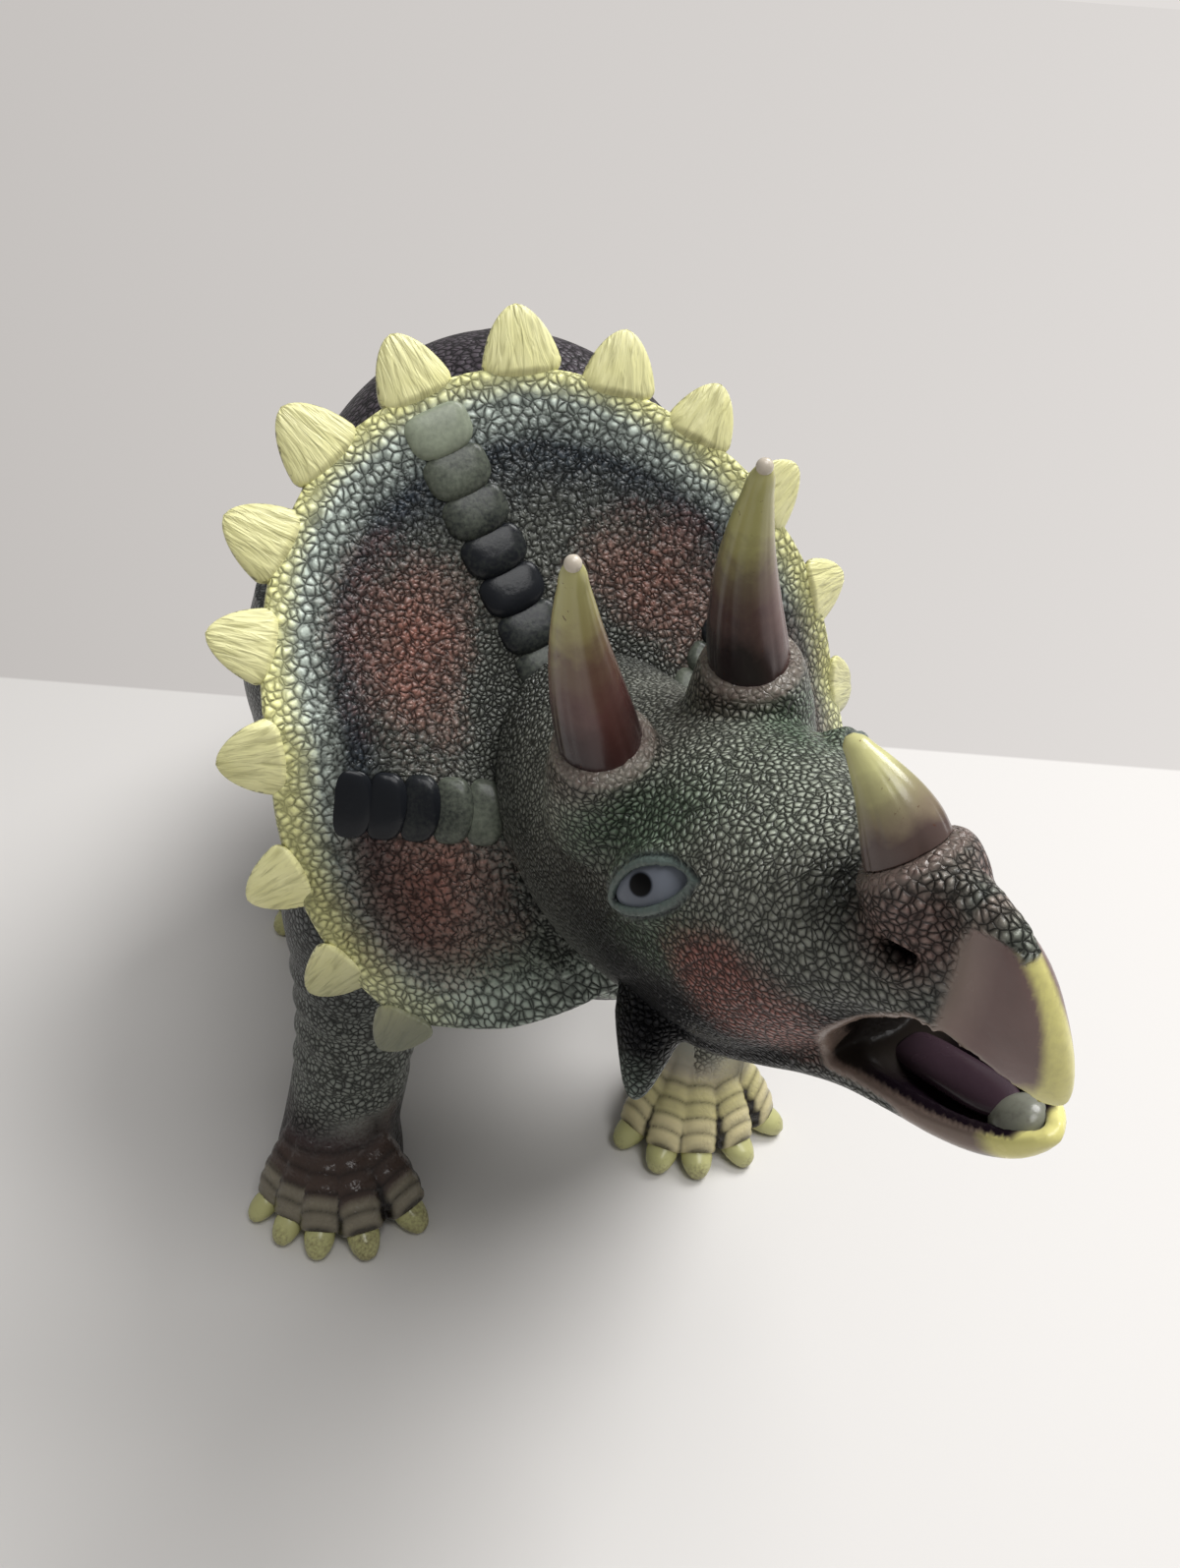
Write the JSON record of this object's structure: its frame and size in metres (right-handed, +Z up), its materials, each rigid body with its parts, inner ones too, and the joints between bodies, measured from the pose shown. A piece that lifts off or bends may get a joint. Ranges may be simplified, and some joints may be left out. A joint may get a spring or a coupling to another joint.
{
  "type": "toy dinosaur figure",
  "caption": "Standing horned dinosaur with a wide spiked neck frill, hollow soft-vinyl castings, turning head, legs and tail.",
  "frame": {"origin": "on the floor, under the middle of the figure's box", "axes": "+Z up; the snout points towards -Y, the tail towards +Y, and the figure's left side is +X"},
  "size_m": [0.1884, 0.434, 0.2642],
  "materials": {
    "body_vinyl": "soft vinyl with moulded scales, dark purple-grey spray paint",
    "leg_vinyl": "soft vinyl with moulded scales, grey-green spray paint and yellow-green claws",
    "head_vinyl": "soft vinyl with pebbled skin, grey-green with black, red and pale yellow spray paint",
    "horn_vinyl": "semi-gloss vinyl, maroon base fading to a yellow-green tip",
    "eye_enamel": "gloss paint, pale blue-grey with a black pupil"
  },
  "bodies": {
    "torso": {"torso_shell": "body_vinyl"},
    "head": {"head_shell": "head_vinyl", "brow_horn_left": "horn_vinyl", "brow_horn_right": "horn_vinyl", "nose_horn": "horn_vinyl", "eye_left": "eye_enamel", "eye_right": "eye_enamel"},
    "foreleg_left": {"foreleg_left": "leg_vinyl"},
    "foreleg_right": {"foreleg_right": "leg_vinyl"},
    "hindleg_left": {"hindleg_left": "leg_vinyl"},
    "hindleg_right": {"hindleg_right": "leg_vinyl"},
    "tail": {"tail": "body_vinyl"}
  },
  "joints": [
    {"name": "neck_swivel", "type": "hinge", "parent": "torso", "child": "head", "pos_m": [0.006, -0.08658, 0.1536], "axis": [0, -0.8192, 0.5736], "range_deg": [-67.5, 22.5]},
    {"name": "shoulder_swivel_left", "type": "hinge", "parent": "torso", "child": "foreleg_left", "pos_m": [0.047, -0.04058, 0.124], "axis": [1, 0, 0], "range_deg": [-30, 20]},
    {"name": "shoulder_swivel_right", "type": "hinge", "parent": "torso", "child": "foreleg_right", "pos_m": [-0.035, -0.04058, 0.124], "axis": [1, 0, 0], "range_deg": [-30, 20]},
    {"name": "hip_swivel_left", "type": "hinge", "parent": "torso", "child": "hindleg_left", "pos_m": [0.047, 0.07342, 0.136], "axis": [1, 0, 0], "range_deg": [-10, 30]},
    {"name": "hip_swivel_right", "type": "hinge", "parent": "torso", "child": "hindleg_right", "pos_m": [-0.035, 0.07342, 0.136], "axis": [1, 0, 0], "range_deg": [-10, 30]},
    {"name": "tail_swivel", "type": "hinge", "parent": "torso", "child": "tail", "pos_m": [0.006, 0.12542, 0.148], "axis": [0, 0.9397, -0.342], "range_deg": [-60, 60]}
  ]
}
